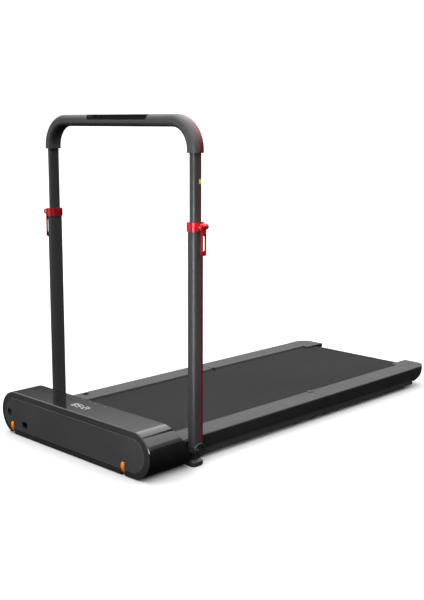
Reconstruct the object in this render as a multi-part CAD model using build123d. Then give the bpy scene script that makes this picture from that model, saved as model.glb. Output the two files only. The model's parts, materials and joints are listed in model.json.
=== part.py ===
from build123d import *
import math
import os

# A folding walking-pad treadmill with a telescoping, fold-down handrail.
# Millimetres. +X is right and -Y is front as the housing is faced, +Z is up.
# Parts are drawn from a datum inside the base, and DATUM then moves them so that
# the origin is on the floor under the middle of the whole machine.

# ---- overall -----------------------------------------------------------------
LENGTH = 1500.0
FRONT = -729.6
WHEEL_PROUD = 3.0
REAR = FRONT - WHEEL_PROUD + LENGTH
FLOOR = -5.0
DATUM = Pos(0, LENGTH / 2 - REAR, -FLOOR)
GAP = 0.3

# ---- front housing -----------------------------------------------------------
HOUSING_WIDTH = 720.0
HOUSING_BOTTOM = FLOOR + 1.5
HOUSING_TOP = 136.0
HOUSING_HEIGHT = HOUSING_TOP - HOUSING_BOTTOM
HOUSING_MID = HOUSING_BOTTOM + HOUSING_HEIGHT / 2
HOUSING_TOP_DEPTH = 115.5
REAR_SLOPE = 0.5
SHELL_WALL = 3.0
SHELL_LIP = 1.4
BEVEL_INSET = 19.5
BEVEL_DEPTH = 2.6
EDGE_ROUND = 1.8
RIM_DEPTH = 2.0
PANEL_THICKNESS = 4.0
PAN_HALF_WIDTH = 285.0
PAN_REAR = -552.0
DECK_OPENING_TOP = 75.5
BEYOND = 1.0

# ---- electronics in the housing ----------------------------------------------
BOARD_X = (-80.0, 45.0)
BOARD_Y = (-702.0, -640.0)
BOARD_Z = (126.0, 127.6)
DIGIT_LEFTS = (-56.0, -38.0, -16.0, 2.0)
DIGIT_WIDTH = 14.0
DIGIT_Y = (-682.0, -656.0)
DIGIT_TOP = 131.5
CONTROLLER_X = (70.0, 230.0)
CONTROLLER_Y = (-706.0, -636.0)
CONTROLLER_TOP = 52.0
SINK_INSET = 10.0
SINK_DEPTH_INSET = 6.0
SINK_BASE = 4.0
FIN_COUNT = 12
FIN_PITCH = 12.0
FIN_WIDTH = 2.0
FIN_HEIGHT = 16.0

# ---- deck --------------------------------------------------------------------
DECK_HALF_WIDTH = 310.0
RAIL_WIDTH = 79.0
RAIL_INNER = DECK_HALF_WIDTH - RAIL_WIDTH
RAIL_TOP = 73.5
RAIL_PLATE = 4.0
RAIL_FRONT = -594.0
LIP_BOTTOM = 62.5
LIP_FRONT = -565.0
SKIRT_BOTTOM = 34.0
SKIRT_WALL = 3.0
DECK_BOTTOM = 11.0
TRAY_WALL = 2.5
TRAY_HALF_WIDTH = 306.0
SEAM = 129.0
SEAM_GAP = 0.9
END_CAP_FRONT = 668.0
END_CAP_INNER = 208.0
END_CAP_BELT_CLEAR = 232.0
END_CAP_LOW = 24.0
END_CAP_SHOULDER = 66.0
END_CAP_CORNER = 58.0
END_CAP_CROWN = 5.0
END_CAP_UNDERCUT = 50.0
END_CAP_UNDERCUT_HEIGHT = 46.0

# ---- belt, boards and rollers ------------------------------------------------
BELT_HALF_WIDTH = 226.0
BELT_THICKNESS = 1.9
ROLLER_RADIUS = 21.0
ROLLER_Z = 44.0
FRONT_ROLLER_Y = -598.0
REAR_ROLLER_Y = 724.0
ROLLER_WALL = 4.0
AXLE_RADIUS = 7.0
TENSION_X = 250.0
BOLT_ACCESS_RADIUS = 7.5
RUNNING_CLEARANCE = 0.05
BOARD_HALF_WIDTH = 222.0
BOARD_THICKNESS = 18.0
BOARD_TOP = 64.5
BOARD_END_GAP = 26.0

# ---- steel frame -------------------------------------------------------------
FRAME_INNER = 240.0
FRAME_OUTER = 262.0
FRAME_LOW = 26.0
FRAME_HIGH = 58.0
FRAME_WALL = 2.0
CROSS_DEPTH = 40.0
CROSS_HIGH = 46.0
FRONT_CROSS_Y = (-519.0, -200.0, 80.0)
REAR_CROSS_Y = (180.0, 400.0, 620.0)
FRAME_FRONT = -612.0
FRAME_SEAM_GAP = 6.0
AXLE_SLOT = 9.0

# ---- fold hinge --------------------------------------------------------------
HINGE_Z = 74.2
KNUCKLE_RADIUS = 3.6
KNUCKLE_WIDTH = 6.6
KNUCKLE_START = 233.5
HINGE_PIN_RADIUS = 1.8
HINGE_NOTCH = 9.5

# ---- drive -------------------------------------------------------------------
MOTOR_Y = -676.0
MOTOR_Z = 72.0
MOTOR_RADIUS = 40.0
MOTOR_WALL = 6.0
MOTOR_LEFT, MOTOR_RIGHT = -190.0, -20.0
MOTOR_FOOT_X = (-170.0, -40.0)
MOTOR_FOOT_HALF = 25.0
ROTOR_RADIUS = 27.0
MOTOR_SHAFT_RADIUS = 6.0
MOTOR_PULLEY_RADIUS = 16.0
ROLLER_PULLEY_RADIUS = 22.0
PULLEY_X = -233.5
PULLEY_WIDTH = 10.0
DRIVE_BELT_WIDTH = 8.0
DRIVE_BELT_THICKNESS = 2.0

# ---- transport wheels, switch and sockets ------------------------------------
WHEEL_RADIUS = 27.0
WHEEL_WIDTH = 14.0
WHEEL_Z = FLOOR + 0.8 + WHEEL_RADIUS
WHEEL_Y = FRONT - WHEEL_PROUD + WHEEL_RADIUS
WHEEL_X = {"left": -301.0, "right": 247.0}
WHEEL_AXLE_RADIUS = 4.0
SWITCH_X = -315.0
SWITCH_Z = 67.5
SWITCH_RADIUS = 11.5
SWITCH_TILT = 7.0
BEZEL_PROUD = 0.4
INLET_X = -232.5
INLET_Z = 38.6
INLET_WIDTH = 27.0
INLET_HEIGHT = 20.0
INLET_DEPTH = 22.0
INLET_PINS = ((-7.0, -2.0), (7.0, -2.0), (0.0, 3.0))
KEY_X = -286.0
KEY_Y = -440.0
KEY_RADIUS = 12.8
KEY_BORE = 11.0
KEY_BOTTOM = 62.0
KEY_FLOOR = 66.0

# ---- feet --------------------------------------------------------------------
FOOT_RADIUS = 15.0
FOOT_X = 266.0
PAD_THICKNESS = 3.0
HOUSING_FOOT_Y = -630.0
FRONT_FEET_Y = (9.0, 100.0)
REAR_FEET_Y = (165.0, 645.0)

# ---- handrail ----------------------------------------------------------------
POST_X = 330.0
POST_Y = -519.0
PIVOT_Z = 45.0
PIVOT_PIN_RADIUS = 6.0
PIVOT_PIN_END = 348.0
POST_FOOT_OUTER = 345.0
POST_FOOT_DEPTH = 44.0
POST_FOOT_TOP = 16.0
POST_FOOT_SLOPE = 7.0
LOWER_WIDTH, LOWER_DEPTH, LOWER_CORNER = 32.0, 44.0, 12.0
UPPER_WIDTH, UPPER_DEPTH, UPPER_CORNER = 23.5, 35.0, 9.5
TUBE_WALL = 2.0
LOWER_TOP = 711.5
LOWER_PLUG_TOP = 70.0
UPPER_BOTTOM = 520.0
UPPER_TOP = 930.0
STRIP_DEPTH = 1.0
COLLAR_LOW, COLLAR_HIGH = 689.0, 714.5
COLLAR_WALL = 3.0
BUSH_LENGTH = 50.0
CLAMP_ZONE = (600.0, 800.0)
LEVER_SLOT_LOW = 14.0
LEVER_SLOT_HIGH = 57.0
LEVER_SLOT_HALF = 5.5
BARREL_X = 26.0
BARREL_Z = 703.0
BARREL_RADIUS = 9.5
LEVER_LOW = 620.0
LEVER_Y0, LEVER_Y1 = -4.0, 15.0
EAR = 4.5
LEVER_PIN_RADIUS = 2.45
KNOB_RADIUS = 22.0
KNOB_X0 = POST_X + LOWER_WIDTH / 2 - 6.5
KNOB_X1 = KNOB_X0 + 11.0
KNOB_POCKET = 18.0
KNOB_POCKET_DEPTH = 6.5
KNOB_GRIP = 8.0
HANDLE_Z = 998.0
HANDLE_WIDTH, HANDLE_DEPTH, HANDLE_CORNER = 36.0, 48.0, 14.0
HANDLE_BEND = 82.0
HANDLE_WALL = 3.0
HANDLE_STRIP_X = 2.0
HANDLE_STRIP_Y = -1.0
HANDLE_LOW = 908.3
BEND_X = POST_X - HANDLE_BEND
BEND_Z = HANDLE_Z - HANDLE_BEND
PHONE_X = 12.0
PHONE_HALF_LENGTH = 142.0
PHONE_FLOOR = 1000.5
PHONE_LIP = 1007.0
PHONE_BACK = 5.0
PHONE_FRONT = -22.0
PHONE_TOP = 1014.5
PHONE_WALL = 3.0


# ---- shape helpers -----------------------------------------------------------
def block(x0, x1, y0, y1, z0, z1):
    """A box between two corners."""
    box = Box(abs(x1 - x0), abs(y1 - y0), abs(z1 - z0))
    return Pos((x0 + x1) / 2, (y0 + y1) / 2, (z0 + z1) / 2) * box


def rod_x(radius, x0, x1, y, z):
    """A cylinder along X."""
    return Pos((x0 + x1) / 2, y, z) * Rot(0, 90, 0) * Cylinder(radius, abs(x1 - x0))


def rod_y(radius, x, y0, y1, z):
    """A cylinder along Y."""
    return Pos(x, (y0 + y1) / 2, z) * Rot(90, 0, 0) * Cylinder(radius, abs(y1 - y0))


def rod_z(radius, x, y, z0, z1):
    """A cylinder along Z."""
    return Pos(x, y, (z0 + z1) / 2) * Cylinder(radius, abs(z1 - z0))


def side_profile(face, x0, x1):
    """A face drawn in Y and Z, extruded from x0 to x1."""
    return extrude(Plane(origin=(x0, 0, 0), x_dir=(0, 1, 0), z_dir=(1, 0, 0)) * face, x1 - x0)


def side_polygon(points, x0, x1):
    """A polygon of (y, z) points, extruded from x0 to x1."""
    return side_profile(Polygon(*points, align=None), x0, x1)


def rounded_column(width, depth, corner, z0, z1):
    """A rounded rectangle at the origin, extruded up from z0 to z1."""
    return extrude(Plane.XY.offset(z0) * RectangleRounded(width, depth, corner), z1 - z0)


def mirrored(part):
    """The same part on the other side of the machine."""
    return mirror(part, about=Plane.YZ)


def pair(part):
    """A part and its mirror image as separate solids."""
    return Compound(children=part.solids() + mirrored(part).solids())


def half_turn(part):
    """The part turned half round about the vertical axis through the origin."""
    return Rot(0, 0, 180) * part


# ---- front housing -----------------------------------------------------------
def slot_face(inset, y):
    """The housing's stadium outline in an XZ plane, drawn in by an inset."""
    plane = Plane(origin=(0, y, HOUSING_MID), x_dir=(1, 0, 0), z_dir=(0, 1, 0))
    return plane * SlotOverall(HOUSING_WIDTH - 2 * inset, HOUSING_HEIGHT - 2 * inset)


def slot_block(inset, y0, y1):
    return extrude(slot_face(inset, y0), y1 - y0)


def behind_rear_face(offset):
    """Everything behind the housing's sloping rear face, moved forward by an offset."""
    top = FRONT + HOUSING_TOP_DEPTH - offset
    low = top + REAR_SLOPE * (HOUSING_TOP + 20.0)
    points = [(top - 5.0, HOUSING_TOP + 10.0), (low, -20.0), (0.0, -20.0), (0.0, HOUSING_TOP + 10.0)]
    return side_polygon(points, -HOUSING_WIDTH, HOUSING_WIDTH)


def housing_shell():
    """The stadium tube round the drive, with a small lip proud of the bezel."""
    start = FRONT + BEVEL_DEPTH + RIM_DEPTH + GAP
    lip = start + SHELL_LIP
    shell = loft([slot_face(SHELL_LIP, start), slot_face(0.0, lip)], ruled=True)
    shell += slot_block(0.0, lip, 0.0)
    shell -= slot_block(SHELL_WALL, start - BEYOND, BEYOND)
    shell -= behind_rear_face(0.0)
    half = PAN_HALF_WIDTH + GAP
    shell -= block(-half, half, FRONT, 0.0, FLOOR, HOUSING_BOTTOM + 5.0)
    return without_wells(shell)


def front_bezel():
    """The bevelled ring between the shell and the flat front panel."""
    rim_front = FRONT + BEVEL_DEPTH
    rim_rear = rim_front + RIM_DEPTH
    edge_y = rim_front - EDGE_ROUND / 2
    ring = loft([slot_face(BEVEL_INSET, FRONT), slot_face(EDGE_ROUND, edge_y)], ruled=True)
    ring += loft([slot_face(EDGE_ROUND, edge_y), slot_face(0.0, rim_front)], ruled=True)
    ring += slot_block(0.0, rim_front, rim_rear - SHELL_LIP)
    ring += slot_block(SHELL_LIP, rim_rear - SHELL_LIP, rim_rear)
    ring -= slot_block(BEVEL_INSET + GAP, FRONT - BEYOND, rim_rear + BEYOND)
    return without_wells(ring)


def wheel_well(x):
    """The room that one transport wheel needs in the parts round it, open to the floor."""
    half = WHEEL_WIDTH / 2 + 1.5
    reach = WHEEL_RADIUS + 1.5
    well = rod_x(reach, x - half, x + half, WHEEL_Y, WHEEL_Z)
    return well + block(x - half, x + half, WHEEL_Y - reach, WHEEL_Y + reach, FLOOR - 1.0, WHEEL_Z)


def without_wells(part):
    for x in WHEEL_X.values():
        part -= wheel_well(x)
    return part


def front_panel():
    panel = slot_block(BEVEL_INSET + 2 * GAP, FRONT, FRONT + PANEL_THICKNESS)
    panel = chamfer(panel.faces().sort_by(Axis.Y)[0].edges(), 1.1)
    before, behind = FRONT - BEYOND, FRONT + PANEL_THICKNESS + BEYOND
    panel -= rod_y(SWITCH_RADIUS + 0.2, SWITCH_X, before, behind, SWITCH_Z)
    inlet = Box(INLET_WIDTH + 0.4, behind - before, INLET_HEIGHT + 0.4)
    panel -= Pos(INLET_X, (before + behind) / 2, INLET_Z) * inlet
    return without_wells(panel)


def housing_rear_panel():
    panel = slot_block(SHELL_WALL + GAP, FRONT, 0.0) - behind_rear_face(0.5)
    panel = panel & behind_rear_face(SHELL_WALL + 1.0)
    opening = DECK_HALF_WIDTH + 1.5
    panel -= block(-opening, opening, FRONT, 0.0, FLOOR, DECK_OPENING_TOP)
    panel -= block(-HOUSING_WIDTH, HOUSING_WIDTH, FRONT, 0.0, FLOOR, HOUSING_BOTTOM + 6.0)
    return panel


def base_pan():
    front = FRONT + BEVEL_DEPTH + RIM_DEPTH + 1.0
    half, top = PAN_HALF_WIDTH, HOUSING_BOTTOM + SHELL_WALL
    return without_wells(block(-half, half, front, PAN_REAR, HOUSING_BOTTOM, top))


def display_board():
    """The display's circuit board with four digit modules that reach up to the cover."""
    board = block(*BOARD_X, *BOARD_Y, *BOARD_Z)
    for x in DIGIT_LEFTS:
        board += block(x, x + DIGIT_WIDTH, *DIGIT_Y, BOARD_Z[1], DIGIT_TOP)
    return board


def motor_controller():
    """The motor controller in its box, with a finned heat sink on top."""
    box = block(*CONTROLLER_X, *CONTROLLER_Y, HOUSING_BOTTOM + SHELL_WALL, CONTROLLER_TOP)
    left, right = CONTROLLER_X[0] + SINK_INSET, CONTROLLER_X[1] - SINK_INSET
    front, rear = CONTROLLER_Y[0] + SINK_DEPTH_INSET, CONTROLLER_Y[1] - SINK_DEPTH_INSET
    fin_low = CONTROLLER_TOP + SINK_BASE
    box += block(left, right, front, rear, CONTROLLER_TOP, fin_low)
    for i in range(FIN_COUNT):
        x = left + FIN_WIDTH + FIN_PITCH * i
        box += block(x, x + FIN_WIDTH, front, rear, fin_low, fin_low + FIN_HEIGHT)
    return box


def power_inlet():
    """A three-pin mains inlet, open to the front."""
    half_w, half_h = INLET_WIDTH / 2, INLET_HEIGHT / 2
    x0, x1 = INLET_X - half_w, INLET_X + half_w
    body = block(x0, x1, FRONT + 0.2, FRONT + INLET_DEPTH, INLET_Z - half_h, INLET_Z + half_h)
    low, high = INLET_Z - half_h + 2.0, INLET_Z + half_h - 2.0
    body -= block(x0 + 2.0, x1 - 2.0, FRONT - BEYOND, FRONT + INLET_DEPTH - 5.0, low, high)
    for dx, dz in INLET_PINS:
        pin_x, pin_z = INLET_X + dx, INLET_Z + dz
        body += block(pin_x - 1, pin_x + 1, FRONT + 9, FRONT + 18, pin_z - 2, pin_z + 2)
    return body


def switch_bezel():
    ring = rod_y(SWITCH_RADIUS, SWITCH_X, FRONT - BEZEL_PROUD, FRONT + 16, SWITCH_Z)
    return ring - rod_y(SWITCH_RADIUS - 2.0, SWITCH_X, FRONT - 1, FRONT + 14, SWITCH_Z)


def switch_rocker():
    """The round rocker, resting at its off tilt."""
    rocker = rod_y(SWITCH_RADIUS - 2.6, 0, -2.5, 2.5, 0)
    rocker = Rot(SWITCH_TILT, 0, 0) * rocker
    return Pos(SWITCH_X, FRONT + 4.0, SWITCH_Z) * rocker


def transport_wheel(x):
    """A tyre with a grooved hub, on a fixed axle."""
    half = WHEEL_WIDTH / 2
    bore = rod_x(WHEEL_AXLE_RADIUS + RUNNING_CLEARANCE, x - 20, x + 20, WHEEL_Y, WHEEL_Z)
    hub = rod_x(WHEEL_RADIUS - 5.0, x - half, x + half, WHEEL_Y, WHEEL_Z)
    tyre = rod_x(WHEEL_RADIUS, x - half, x + half, WHEEL_Y, WHEEL_Z)
    tyre = fillet(tyre.edges().filter_by(GeomType.CIRCLE), 3.0)
    return Compound(children=[(tyre - hub).solid(), (hub - bore).solid()])


# ---- drive -------------------------------------------------------------------
def motor_body():
    """The motor's can on its foot, hollow round the rotor."""
    body = rod_x(MOTOR_RADIUS, MOTOR_LEFT, MOTOR_RIGHT, MOTOR_Y, MOTOR_Z)
    body = chamfer(body.edges().filter_by(GeomType.CIRCLE), 3.0)
    foot_y = (MOTOR_Y - MOTOR_FOOT_HALF, MOTOR_Y + MOTOR_FOOT_HALF)
    foot = block(*MOTOR_FOOT_X, *foot_y, HOUSING_BOTTOM + SHELL_WALL, MOTOR_Z - 30)
    body += foot - rod_x(MOTOR_RADIUS - 1.0, MOTOR_LEFT, MOTOR_RIGHT, MOTOR_Y, MOTOR_Z)
    left, right = MOTOR_LEFT + MOTOR_WALL, MOTOR_RIGHT - MOTOR_WALL
    body -= rod_x(MOTOR_RADIUS - MOTOR_WALL, left, right, MOTOR_Y, MOTOR_Z)
    return body - rod_x(MOTOR_SHAFT_RADIUS + RUNNING_CLEARANCE, MOTOR_LEFT - 10, 0, MOTOR_Y, MOTOR_Z)


def pulley(radius, y, z):
    """A plain pulley in the drive belt's plane."""
    half = PULLEY_WIDTH / 2
    return rod_x(radius, PULLEY_X - half, PULLEY_X + half, y, z)


def motor_rotor():
    """The motor's shaft with its wound core and its pulley."""
    shaft = rod_x(MOTOR_SHAFT_RADIUS, PULLEY_X - PULLEY_WIDTH / 2, MOTOR_RIGHT - 2, MOTOR_Y, MOTOR_Z)
    core = rod_x(ROTOR_RADIUS, MOTOR_LEFT + 25, MOTOR_RIGHT - 25, MOTOR_Y, MOTOR_Z)
    return shaft + core + pulley(MOTOR_PULLEY_RADIUS, MOTOR_Y, MOTOR_Z)


def belt_loop(y1, z1, r1, y2, z2, r2):
    """A solid loop shape round two circles, as a face in Y and Z."""
    distance = math.hypot(y2 - y1, z2 - z1)
    heading = math.atan2(z2 - z1, y2 - y1)
    spread = math.acos((r1 - r2) / distance)
    points = []
    for cy, cz, radius, sign in ((y1, z1, r1, -1), (y2, z2, r2, -1), (y2, z2, r2, 1), (y1, z1, r1, 1)):
        angle = heading + sign * spread
        points.append((cy + radius * math.cos(angle), cz + radius * math.sin(angle)))
    return Pos(y1, z1) * Circle(r1) + Pos(y2, z2) * Circle(r2) + Polygon(*points, align=None)


def drive_belt():
    def loop(extra):
        r1 = MOTOR_PULLEY_RADIUS + extra
        r2 = ROLLER_PULLEY_RADIUS + extra
        return belt_loop(MOTOR_Y, MOTOR_Z, r1, FRONT_ROLLER_Y, ROLLER_Z, r2)

    half = DRIVE_BELT_WIDTH / 2
    outer = side_profile(loop(0.1 + DRIVE_BELT_THICKNESS), PULLEY_X - half, PULLEY_X + half)
    inner = side_profile(loop(0.1), PULLEY_X - half - 1, PULLEY_X + half + 1)
    return outer - inner


def roller(y):
    """A steel roller tube with a plug and a bearing bore at each end."""
    length = BELT_HALF_WIDTH - 1.0
    tube = rod_x(ROLLER_RADIUS, -length, length, y, ROLLER_Z)
    tube -= rod_x(ROLLER_RADIUS - ROLLER_WALL, -length + 14, length - 14, y, ROLLER_Z)
    return tube


def front_roller():
    part = roller(FRONT_ROLLER_Y) + pulley(ROLLER_PULLEY_RADIUS, FRONT_ROLLER_Y, ROLLER_Z)
    neck = rod_x(12.0, PULLEY_X, -BELT_HALF_WIDTH + 10, FRONT_ROLLER_Y, ROLLER_Z)
    return part + neck - rod_x(AXLE_RADIUS + RUNNING_CLEARANCE, -300, 300, FRONT_ROLLER_Y, ROLLER_Z)


def rear_roller():
    bore = rod_x(AXLE_RADIUS + RUNNING_CLEARANCE, -300, 300, REAR_ROLLER_Y, ROLLER_Z)
    return roller(REAR_ROLLER_Y) - bore


def front_axles():
    """The front roller's axle and the two wheel axles, all fixed."""
    axles = [rod_x(AXLE_RADIUS, -FRAME_OUTER, FRAME_OUTER, FRONT_ROLLER_Y, ROLLER_Z)]
    for x in WHEEL_X.values():
        axles.append(rod_x(WHEEL_AXLE_RADIUS, x - 14, x + 14, WHEEL_Y, WHEEL_Z))
    return Compound(children=[axle.solid() for axle in axles])


def rear_roller_axle():
    axle = rod_x(AXLE_RADIUS, -256, 256, REAR_ROLLER_Y, ROLLER_Z)
    for x in (-TENSION_X, TENSION_X):
        axle -= rod_y(4.0, x, REAR_ROLLER_Y - 20, REAR_ROLLER_Y + 20, ROLLER_Z)
    return axle


def tension_bolts():
    """The screws that pull the rear roller back to tighten the belt."""
    head = REAR_ROLLER_Y + 23
    shank = rod_y(3.9, TENSION_X, REAR_ROLLER_Y - 12, head, ROLLER_Z)
    return pair(shank + rod_y(6.5, TENSION_X, head, head + 6, ROLLER_Z))


# ---- belt and running boards -------------------------------------------------
def running_belt(roller_y, seam_y):
    """Half of the belt loop, from the seam round one roller."""
    def loop(radius, end):
        middle = (end + roller_y) / 2
        straight = Pos(middle, ROLLER_Z) * Rectangle(abs(end - roller_y), 2 * radius)
        return Pos(roller_y, ROLLER_Z) * Circle(radius) + straight

    inner_radius = ROLLER_RADIUS + 0.1
    beyond = seam_y + math.copysign(2.0, seam_y - roller_y)
    belt = side_profile(loop(inner_radius + BELT_THICKNESS, seam_y), -BELT_HALF_WIDTH, BELT_HALF_WIDTH)
    return belt - side_profile(loop(inner_radius, beyond), -BELT_HALF_WIDTH - 1, BELT_HALF_WIDTH + 1)


def running_board(y0, y1):
    board = block(-BOARD_HALF_WIDTH, BOARD_HALF_WIDTH, y0, y1, BOARD_TOP - BOARD_THICKNESS, BOARD_TOP)
    return chamfer(board.edges().filter_by(Axis.X).group_by(Axis.Z)[-1], 1.5)


# ---- steel frame -------------------------------------------------------------
def box_tube(x0, x1, y0, y1, z0, z1, along):
    """A rectangular steel tube along X or Y."""
    across = {"X": -BEYOND, "Y": FRAME_WALL}[along]
    endways = {"X": FRAME_WALL, "Y": -BEYOND}[along]
    low, high = z0 + FRAME_WALL, z1 - FRAME_WALL
    inside = block(x0 + across, x1 - across, y0 + endways, y1 - endways, low, high)
    return block(x0, x1, y0, y1, z0, z1) - inside


def cross_member(y):
    half = CROSS_DEPTH / 2
    return box_tube(-FRAME_INNER, FRAME_INNER, y - half, y + half, FRAME_LOW, CROSS_HIGH, "X")


def front_frame():
    """Two side rails and three cross members, welded where they meet."""
    end = SEAM - FRAME_SEAM_GAP
    rail = box_tube(FRAME_INNER, FRAME_OUTER, FRAME_FRONT, end, FRAME_LOW, FRAME_HIGH, "Y")
    rail -= rod_x(AXLE_RADIUS + RUNNING_CLEARANCE, 200, 300, FRONT_ROLLER_Y, ROLLER_Z)
    crosses = [cross_member(y).solid() for y in FRONT_CROSS_Y]
    return Compound(children=[rail.solid(), mirrored(rail).solid()] + crosses)


def rear_frame():
    """As the front frame, with an end plate on each rail for the rear axle."""
    start, end = SEAM + FRAME_SEAM_GAP, END_CAP_FRONT - 2.0
    rail = box_tube(FRAME_INNER, FRAME_OUTER, start, end, FRAME_LOW, FRAME_HIGH, "Y")
    plate_y = (end - 6.0, REAR_ROLLER_Y + 12.0)
    rail += block(FRAME_INNER, FRAME_INNER + 6.0, *plate_y, ROLLER_Z - 3.0, FRAME_HIGH)
    slot = Box(100.0, 2 * AXLE_SLOT, 2 * AXLE_RADIUS + 0.2)
    rail -= Pos(FRAME_INNER, REAR_ROLLER_Y, ROLLER_Z) * slot
    crosses = [cross_member(y).solid() for y in REAR_CROSS_Y]
    return Compound(children=[rail.solid(), mirrored(rail).solid()] + crosses)


# ---- deck covers -------------------------------------------------------------
def hinge_notch():
    end = KNUCKLE_START + 2 * KNUCKLE_WIDTH + 1.8
    front, rear = SEAM - HINGE_NOTCH, SEAM + HINGE_NOTCH
    return block(RAIL_INNER - BEYOND, end, front, rear, LIP_BOTTOM - BEYOND, RAIL_TOP + BEYOND)


def foot_rail(y0, y1):
    """The right foot rail's flat top, with a turned-down inner lip."""
    plate = block(RAIL_INNER, DECK_HALF_WIDTH, y0, y1, RAIL_TOP - RAIL_PLATE, RAIL_TOP)
    outer_edge = plate.edges().filter_by(Axis.Y).sort_by(lambda e: e.center().X + e.center().Z)[-1]
    plate = fillet(outer_edge, 3.0)
    inner_edge = plate.edges().filter_by(Axis.Y).sort_by(lambda e: e.center().Z - e.center().X)[-1]
    plate = fillet(inner_edge, 1.0)
    plate += block(RAIL_INNER, RAIL_INNER + 3, max(y0, LIP_FRONT), y1, LIP_BOTTOM, RAIL_TOP - RAIL_PLATE)
    return plate - hinge_notch()


def foot_rail_front_left():
    rail = mirrored(foot_rail(RAIL_FRONT, SEAM - SEAM_GAP))
    return rail - rod_z(KEY_RADIUS + 0.2, KEY_X, KEY_Y, 50, 90)


def safety_key_socket():
    socket = rod_z(KEY_RADIUS, KEY_X, KEY_Y, KEY_BOTTOM, RAIL_TOP)
    return socket - rod_z(KEY_BORE, KEY_X, KEY_Y, KEY_FLOOR, RAIL_TOP + BEYOND)


def side_skirt(y0, y1):
    inner = DECK_HALF_WIDTH - SKIRT_WALL
    return block(inner, DECK_HALF_WIDTH, y0, y1, SKIRT_BOTTOM, RAIL_TOP - RAIL_PLATE - GAP)


def side_skirts_front():
    skirt = side_skirt(RAIL_FRONT, SEAM - SEAM_GAP)
    return pair(skirt - rod_x(PIVOT_PIN_RADIUS + GAP, 280, 340, POST_Y, PIVOT_Z))


def deck_base(y0, y1):
    """A shallow tray under the deck."""
    half = TRAY_HALF_WIDTH
    tray = block(-half, half, y0, y1, DECK_BOTTOM, SKIRT_BOTTOM - GAP)
    inner = half - TRAY_WALL
    return tray - block(-inner, inner, y0 - 1, y1 + 1, DECK_BOTTOM + TRAY_WALL, SKIRT_BOTTOM)


def end_cap_face(shrink):
    """The end cap's side view: a quarter ellipse below, a small round above."""
    low = END_CAP_LOW + shrink
    rear = REAR - shrink
    top = RAIL_TOP - shrink
    crown = END_CAP_CROWN
    curve = EllipticalCenterArc((END_CAP_FRONT, END_CAP_SHOULDER), rear - END_CAP_FRONT,
                                END_CAP_SHOULDER - low, start_angle=270, arc_size=90)
    edges = [curve,
             Line((rear, END_CAP_SHOULDER), (rear, top - crown)),
             RadiusArc((rear, top - crown), (rear - crown, top), -crown),
             Line((rear - crown, top), (END_CAP_FRONT, top)),
             Line((END_CAP_FRONT, top), (END_CAP_FRONT, low))]
    return make_face(edges)


def end_cap_plan(shrink):
    """The right cap's outline from above, its outer rear corner well rounded."""
    outline = block(0, DECK_HALF_WIDTH - shrink, END_CAP_FRONT + SEAM_GAP - shrink, REAR - shrink, 0, 100)
    corner = outline.edges().filter_by(Axis.Z).sort_by(lambda e: e.center().X + e.center().Y)[-1]
    return fillet(corner, END_CAP_CORNER - shrink)


def end_cap_hull(shrink):
    """All that lies inside the cap's rounded underside, which curves up across its outer rear corner."""
    centre_x, centre_y = DECK_HALF_WIDTH - END_CAP_CORNER, REAR - END_CAP_CORNER
    reach = END_CAP_CORNER - shrink
    width, height = END_CAP_UNDERCUT - shrink, END_CAP_UNDERCUT_HEIGHT - shrink
    low = END_CAP_LOW + shrink
    curve = EllipticalCenterArc((reach - width, low + height), width, height, start_angle=270, arc_size=90)
    far = 400.0
    edges = [curve,
             Line((reach, low + height), (reach, 2 * RAIL_TOP)),
             Line((reach, 2 * RAIL_TOP), (-far, 2 * RAIL_TOP)),
             Line((-far, 2 * RAIL_TOP), (-far, low)),
             Line((-far, low), (reach - width, low))]
    diagonal = Plane(origin=(centre_x, centre_y, 0), x_dir=(1, 1, 0), z_dir=(1, -1, 0))
    return extrude(diagonal * make_face(edges), far, both=True)


def rear_end_caps():
    """Hollow caps that close the rear ends of the foot rails."""
    cap = side_profile(end_cap_face(0.0), END_CAP_INNER, DECK_HALF_WIDTH)
    cap = cap & end_cap_plan(0.0) & end_cap_hull(0.0)
    room = side_profile(end_cap_face(RAIL_PLATE), END_CAP_BELT_CLEAR + 3, DECK_HALF_WIDTH - 3.5)
    cap -= room & end_cap_plan(RAIL_PLATE + GAP) & end_cap_hull(RAIL_PLATE + 2 * GAP)
    belt_end = REAR_ROLLER_Y + ROLLER_RADIUS + BELT_THICKNESS + 2.0
    cap -= block(END_CAP_INNER - 1, END_CAP_BELT_CLEAR, END_CAP_FRONT, belt_end, 0, RAIL_TOP - RAIL_PLATE)
    cap -= rod_x(AXLE_RADIUS + 2.0, 200, 260, REAR_ROLLER_Y, ROLLER_Z)
    cap -= rod_y(BOLT_ACCESS_RADIUS, TENSION_X, REAR_ROLLER_Y + 13, REAR + 1, ROLLER_Z)
    return pair(cap)


# ---- fold hinge --------------------------------------------------------------
def hinge_leaf(x0, x1, side):
    """One leaf on a frame rail's top. side is -1 for the front leaf, 1 for the rear."""
    plate = block(x0, FRAME_OUTER, SEAM + side * 40, SEAM + side * 4, FRAME_HIGH, LIP_BOTTOM - 0.5)
    arm = block(x0, x1, SEAM + side * 9, SEAM + side * 4, FRAME_HIGH, HINGE_Z)
    head = block(x0, x1, SEAM + side * 9, SEAM, HINGE_Z - 3.0, HINGE_Z + 2.0)
    knuckle = rod_x(KNUCKLE_RADIUS, x0, x1, SEAM, HINGE_Z)
    leaf = plate + arm + head + knuckle
    return leaf - rod_x(HINGE_PIN_RADIUS + RUNNING_CLEARANCE, x0 - 1, x1 + 1, SEAM, HINGE_Z)


def hinge_leaves_front():
    return pair(hinge_leaf(KNUCKLE_START, KNUCKLE_START + KNUCKLE_WIDTH, -1))


def hinge_leaves_rear():
    start = KNUCKLE_START + KNUCKLE_WIDTH + GAP
    return pair(hinge_leaf(start, start + KNUCKLE_WIDTH, 1))


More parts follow.
